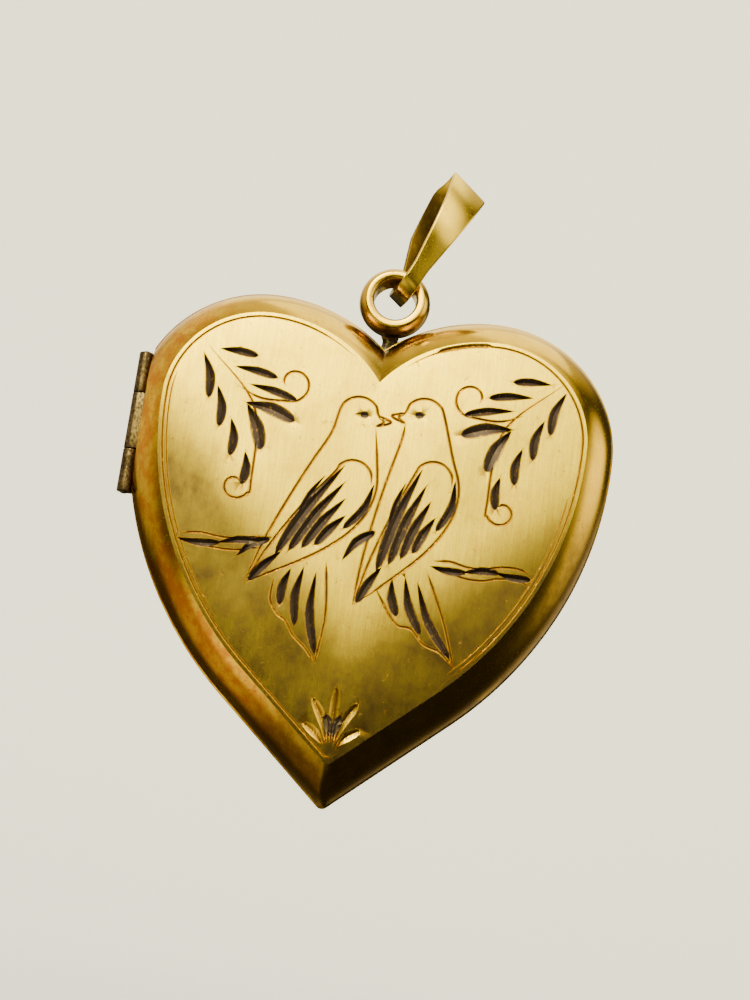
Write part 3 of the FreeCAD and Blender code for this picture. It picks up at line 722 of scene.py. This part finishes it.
def cover_piece(name, direction, wall, hem, strokes, outside, body, nodes):
    """The land, the lip and rolled edge, the face, and the same inside one wall further in."""
    lip = [(0.06, SEAM), (0.018, 0.022), (0, 0.06), (0, 0.17), (0.02, 0.20), (0.085, 0.225)]
    squash = (FACE_DEPTH - LIP_HEIGHT) / (CREASE_DEPTH - LIP_HEIGHT)
    arc = roll(ROLL_RADIUS, LIP_HEIGHT + 0.02, CREASE_DEPTH, 16)
    edge = [(inset, LIP_HEIGHT + (depth - LIP_HEIGHT) * squash) for inset, depth in arc]
    inner = [(hem, SEAM), (hem, LIP_HEIGHT)] + roll(ROLL_RADIUS - wall, 0.5, CREASE_DEPTH - wall, 9)
    floor_inset, floor_depth = inner[-1]
    land = np.stack([heart_loft([(0.06, SEAM)], direction)[0], heart_loft([(hem, SEAM)], direction, True)[0]])
    patches = [
        patch(land, 3), patch(heart_loft(lip + edge, direction), 3),
        face_patch(edge[-1][0], strokes, direction, 0, 0.55, sheet_depth),
        patch(heart_loft(inner, direction, True), 4),
        face_patch(floor_inset, [], direction, 4, 1.2, lambda points, ring: np.full(len(points), floor_depth), True),
    ]
    return make_piece(name, patches, [outside, CUT, LINE, ROLLED, LINED], body, nodes, crease=13)


cover_piece(
    "front_cover_engraved", -1, 0.40, 0.60, STROKES + BORDERS, SATIN, "front", ["front_cover"]
)
cover_piece("back_cover_plain", 1, 0.45, 0.65, [], BACKED, "case", ["back_cover"])

# %% [markdown]
# ## Rim and photo frames
# The snap rim stands in the back cover with its top edge rolled over. Each photo is held by a heart
# frame with a low bead round its opening. Both are heart rings carried along a small closed profile.

# %% Rim and frames
rim_profile = [
    (0.65, 0.5), (0.65, -0.32), (0.67, -0.41), (0.74, -0.45),
    (0.86, -0.45), (0.93, -0.41), (0.95, -0.32), (0.95, 0.5),
]
rim = patch(heart_loft(rim_profile, 1, True), 0, close_rows=True)
make_piece("snap_rim", [rim], [LINED], "case", ["back_rim"])


def frame_piece(name, outer, back_depth, direction, body, node):
    """A frame 0.35 mm thick: flat behind, with a rolled outer edge and a bead at the opening."""
    drop = np.array([0, 0.22, 0.29, 0.30, 0.26, 0.26, 0.31, 0.35, 0.33, 0.24, 0.10, 0])
    inset = np.array([outer, outer, outer + 0.06, outer + 0.2, 1.45, 1.62, 1.70, 1.83, 1.97, 2.06, 2.10, 2.10])
    profile = np.stack([inset, back_depth + direction * drop], 1).tolist()
    band = patch(heart_loft(profile, 1, True), 0, close_rows=True)
    return make_piece(name, [band], [LINED], body, [node])


frame_piece("front_frame_beaded", 0.86, -0.90, 1, "front", "front_photo_frame")
frame_piece("back_frame_beaded", 0.97, 0.35, -1, "case", "back_photo_frame")

# %% [markdown]
# ## Hinge knuckles
# A knuckle is a strip rolled round the pin, with a short leaf that lies on the cover's flat. Its outline
# is most of a circle and a square tongue; it is carried along the pin with eased ends, and the bore is
# the last ring of the same grid, so the tube closes on itself.

# %% Knuckles
def knuckle_piece(name, node, body, forward):
    """Rings of one outline along Z: bore, eased end, length, eased end, bore again."""
    low, high = (corner - CASE for corner in node_box(node))
    barrel = bow((0, 0), KNUCKLE, -6.8, 270, 40)
    tongue = np.array([[0.0, -0.42], [0.2, -0.42], [0.4, -0.42], [0.448, -0.41], [0.448, -0.07], [0.43, -0.05]])
    outline = np.vstack([barrel, tongue]) * [1, 1 if forward else -1]
    angle = np.arctan2(outline[:, 1], outline[:, 0])
    bore = BORE * np.stack([np.cos(angle), np.sin(angle)], 1)
    length = high[2] - low[2]
    rings = [(bore, 0), (outline * 0.90, 0), (outline * 0.97, 0.02), (outline, 0.07)]
    rings += [(outline * (1 - 0.012 * np.sin(np.pi * s)), 0.07 + (length - 0.14) * s) for s in (0.25, 0.5, 0.75)]
    rings += [(outline, length - 0.07), (outline * 0.97, length - 0.02), (outline * 0.90, length), (bore, length)]
    flat = np.stack([ring for ring, _ in rings])
    rise = np.broadcast_to(low[2] + np.array([z for _, z in rings])[:, None], flat.shape[:2])
    grid = np.stack([flat[..., 0] - HINGE_X, flat[..., 1], rise], -1)
    return make_piece(name, [patch(grid, 0, close_rows=True)], [HINGE], body, [node])


knuckle_piece("knuckle_low", "hinge_knuckle_bottom", "case", False)
knuckle_piece("knuckle_mid", "hinge_knuckle_middle", "front", True)
knuckle_piece("knuckle_high", "hinge_knuckle_top", "case", False)

# %% [markdown]
# ## Suspension ring and its solder
# The ring is a short tube with a barrel-shaped outside and eased edges, turned about an axis from front
# to back. The solder below it is a small waisted lump that wets the cleft and the ring.

# %% Ring and solder
def turned_ring():
    """A closed profile of (radius, Y) turned about the Y axis: radius times cosine and sine of the turn."""
    barrel = np.linspace(-0.74, 0.74, 13)
    belly = np.stack([0.716 + np.sqrt(1.384**2 - barrel**2), barrel], 1)
    profile = np.vstack([
        straight(np.array([1.25, 0.74]), np.array([1.25, -0.74]), 6),
        bow((1.43, -0.74), 0.18, 180, 270, 6),
        bow((1.63, -0.72), 0.20, 270, 340, 6),
        belly,
        bow((1.63, 0.72), 0.20, 20, 90, 6),
        bow((1.43, 0.74), 0.18, 90, 180, 6),
    ])
    turn = np.linspace(0, 2 * np.pi, 120, endpoint=False)[:, None]
    radius, depth = profile[:, 0], np.broadcast_to(profile[:, 1], (120, len(profile)))
    return np.stack([radius * np.cos(turn), depth, radius * np.sin(turn)], -1)


tube = patch(turned_ring(), 0, close_rows=True)
make_piece("ring_turned", [tube], [RINGED], "case", ["suspension_ring"], RING)


def solder_lump():
    """Flattened circles up Z: a waist in the middle, a few lumps, and a pole of radius 0 at each end."""
    rise = np.concatenate([[0], np.linspace(0, 1, 14), [1]])[:, None]
    turn = np.linspace(0, 2 * np.pi, 40, endpoint=False)[None, :]
    waist = 0.60 - 0.16 * np.sin(np.pi * rise) ** 1.5
    waist[[0, -1]] = 0
    radius = waist * (1 + 0.05 * np.sin(3 * turn + 4 * rise) + 0.03 * np.sin(7 * turn - 9 * rise))
    up = np.broadcast_to(-3.05 + 1.35 * rise, radius.shape)
    return np.stack([radius * np.cos(turn), 0.46 + 0.66 * radius * np.sin(turn), up], -1)


make_piece("ring_solder", [patch(solder_lump())], [SOLDER], "case", ["ring_foot"], RING)

# %% [markdown]
# ## The folded bail
# The bail is one strip bent into a tall loop: flat where it hangs in the ring, bowed leaves at front and
# back, and a tight fold at the top. A rounded bar section is carried along the loop; its width grows from
# the waist to the fold, and the ends are cut on a slant because the strip is a little skewed.

# %% Bail
def bail_path(inset=0.17):
    """The loop's middle line in its side plane, as points and outward directions, all from five arcs."""
    corner, leaf_radius, fold = 1.20 - inset, 5.7 - inset, 0.50 - inset
    corner_at, leaf_at = np.array([0.48, 1.50]), np.array([-3.74, 4.6])
    fold_at = np.array([0, leaf_at[1] + np.sqrt((leaf_radius - fold) ** 2 - leaf_at[0] ** 2)])
    reach = corner_at - leaf_at
    gap = (leaf_radius - corner) / np.hypot(*reach)
    slope = np.degrees(np.arctan2(reach[1], reach[0]) + np.arccos(gap))
    turn = np.degrees(np.arctan2(fold_at[1] - leaf_at[1], -leaf_at[0]))
    low = 0.30 + inset
    half = [straight(np.array([0, low]), np.array([0.48, low]), 4), bow(corner_at, corner, -90, slope, 14)]
    start = bow(corner_at, corner, slope, slope + 1, 1)[0]
    end = bow(leaf_at, leaf_radius, slope, slope + 1, 1)[0]
    half += [straight(start, end, 8), bow(leaf_at, leaf_radius, slope, turn, 26), bow(fold_at, fold, turn, 90, 9)]
    right = np.vstack(half)
    left = right[1:][::-1] * [-1, 1]
    loop = np.vstack([right, [fold_at + [0, fold]], left])
    run = np.roll(loop, -1, axis=0) - np.roll(loop, 1, axis=0)
    outward = np.stack([run[:, 1], -run[:, 0]], 1) / np.linalg.norm(run, axis=1)[:, None]
    return loop, outward


def bail_grid():
    """Each section: four rounded corners about the strip's half width and half thickness."""
    loop, outward = bail_path()
    grow, skew = 0.8 / 6.5, np.tan(np.radians(12))
    height = np.maximum(loop[:, 1] - 2.3, 0)[:, None]
    right = (0.5 + grow * height) / (1 + grow * skew)
    left = (0.5 + grow * height) / (1 - grow * skew)
    behind = np.clip(loop[:, :1] / 1.2, 0, 1)
    left = left + 0.45 * behind * np.clip(height / 2.0, 0, 1) * np.clip((6.4 - height) / 1.2, 0, 1)
    turn = np.radians([0, 22, 45, 68, 90, 90, 112, 135, 158, 180, 180, 202, 225, 248, 270, 270, 292, 315, 338, 360])
    ease = 0.09
    side = np.repeat([1, -1, -1, 1], 5)
    face = np.repeat([1, 1, -1, -1], 5)
    width = np.where(side > 0, right, left)
    across = side * (width - ease) + ease * np.cos(turn)
    lift = face * (0.17 - ease) + ease * np.sin(turn)
    grid = np.stack([
        across,
        loop[:, :1] + lift * outward[:, :1],
        loop[:, 1:] + lift * outward[:, 1:] - skew * across,
    ], -1)
    pose = Euler((0, np.radians(24), 0)).to_matrix() @ Euler((0, 0, np.radians(13))).to_matrix()
    return grid @ np.array(pose).T


strip = patch(bail_grid(), 0, close_rows=True)
make_piece("bail_strip", [strip], [BAILED], "bail", ["bail"], RING, 40)

# %% [markdown]
# ## Carried-over pieces
# The pin, the two windows and the two cards have the right shape in the frame already, so they only get
# their finishes.

# %% Finishes for the frame's own pieces
for node, finish in {
    "hinge_pin": HINGE, "front_photo_window": WINDOW, "back_photo_window": WINDOW,
    "front_backing_card": CARD, "back_backing_card": CARD,
}.items():
    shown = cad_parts[node]
    shown.data.materials.clear()
    shown.data.materials.append(finish)
    print(node, "gets", finish.name)


# %% [markdown]
# ## Room, light and camera
# The locket hangs over a pale floor that curves up into a pale wall all round. Polished gold shows
# whatever surrounds it, so the light is a handful of soft glows from set directions: bright above, to
# the right and in front, dark low on the right, and a warm low glow on the left.

# %% Pale floor and surround
def surround():
    """A bowl turned about Z: flat floor, a quarter-round rise and a wall."""
    profile = np.vstack([
        straight(np.array([0.001, -0.075]), np.array([0.9, -0.075]), 12),
        bow((0.9, 0.225), 0.3, -90, 0, 16),
        straight(np.array([1.2, 0.225]), np.array([1.2, 1.3]), 6),
    ])
    turn = np.linspace(0, 2 * np.pi, 96, endpoint=False)[:, None]
    radius, rise = profile[:, 0], np.broadcast_to(profile[:, 1], (96, len(profile)))
    grid = np.stack([radius * np.cos(turn), radius * np.sin(turn), rise], -1)
    mesh = bpy.data.meshes.new("pale_floor")
    faces = grid_faces(*grid.shape[:2], close_rows=True)
    mesh.from_pydata(grid.reshape(-1, 3).tolist(), [], faces.tolist())
    mesh.shade_smooth()
    floor = bpy.data.objects.new("pale_floor", mesh)
    bpy.context.scene.collection.objects.link(floor)
    bench = Bench(bpy.data.materials.new("pale_floor"))
    skin = bench.add("BsdfPrincipled", None, {
        "Base Color": rgb(0.80, 0.79, 0.77), "Roughness": 0.85,
        "Emission Color": rgb(0.88, 0.89, 0.90), "Emission Strength": 0.50,
    })
    bench.add("OutputMaterial", None, {"Surface": skin})
    mesh.materials.append(bench.owner)
    floor.visible_glossy = False


surround()


# %% Soft light all round
def room_light():
    """A dim room plus glows: each is full inside its inner angle and fades to nothing at its outer one."""
    world = bpy.data.worlds.new("soft_room")
    bpy.context.scene.world = world
    bench = Bench(world)
    look = bench.add("TexCoord", None, None, "Generated")
    total = bench.add("CombineColor", None, {0: 0.060, 1: 0.050, 2: 0.035})
    for toward, inner, outer, colour in (
        ((0.0, 0.20, 1.0), 20, 50, (1.05, 0.88, 0.52)),
        ((0.98, -0.05, 0.14), 8, 30, (2.6, 2.25, 1.5)),
        ((-0.18, -0.86, 0.47), 14, 21, (10.0, 9.0, 2.6)),
        ((0.30, -0.65, 0.70), 10, 30, (3.4, 3.0, 2.0)),
        ((0.50, -0.82, 0.25), 4, 20, (2.0, 1.8, 1.2)),
        ((-0.80, -0.20, -0.55), 4, 30, (0.55, 0.36, 0.14)),
        ((-0.88, 0.0, 0.45), 10, 46, (1.0, 0.82, 0.52)),
        ((-0.15, 0.80, 0.58), 12, 40, (1.5, 1.35, 1.0)),
        ((-0.55, -0.70, -0.44), 4, 24, (1.5, 1.3, 0.85)),
        ((0.66, 0.72, -0.22), 6, 26, (1.3, 1.1, 0.75)),
        ((0.0, -0.92, -0.38), 4, 14, (1.2, 1.05, 0.75)),
        ((-0.25, 0.60, -0.76), 8, 26, (0.7, 0.6, 0.4)),
    ):
        aim = np.array(toward) / np.linalg.norm(toward)
        facing = bench.add("VectorMath", {"operation": "DOT_PRODUCT"}, {0: look, 1: tuple(aim)}, "Value")
        glow = facing.step(float(np.cos(np.radians(outer))), float(np.cos(np.radians(inner))))
        part = bench.add("VectorMath", {"operation": "SCALE"}, {0: colour, "Scale": glow})
        total = bench.add("VectorMath", {"operation": "ADD"}, {0: total, 1: part})
    light = bench.add("Background", None, {"Color": total, "Strength": 1.0})
    bench.add("OutputWorld", None, {"Surface": light})


room_light()


def soft_lamp(name, place, size, power):
    """A square warm lamp that faces the case."""
    light = bpy.data.lights.new(name, "AREA")
    light.size, light.energy, light.color = size, power, (1.0, 0.96, 0.9)
    lamp = bpy.data.objects.new(name, light)
    lamp.location = place
    lamp.rotation_euler = (Vector((0, 0, -0.02)) - Vector(place)).to_track_quat("-Z", "Y").to_euler()
    bpy.context.scene.collection.objects.link(lamp)
    print(name, "at", place, "watts", power)


soft_lamp("key_lamp", (-0.14, -0.34, 0.30), 0.16, 1.6)
soft_lamp("top_lamp", (0.12, 0.05, 0.50), 0.36, 0.7)

# %% Camera
eye = bpy.data.cameras.new("camera")
eye.lens = 64.8
camera = bpy.data.objects.new("camera", eye)
camera.location = (-0.002015, -0.100904, -0.042546)
camera.rotation_euler = np.radians((103.589, -7.618, -1.601))
eye.clip_start = 0.005
bpy.context.scene.collection.objects.link(camera)
bpy.context.scene.camera = camera
print("camera at mm:", (np.array(camera.location) / MM).round(1), "lens:", eye.lens)
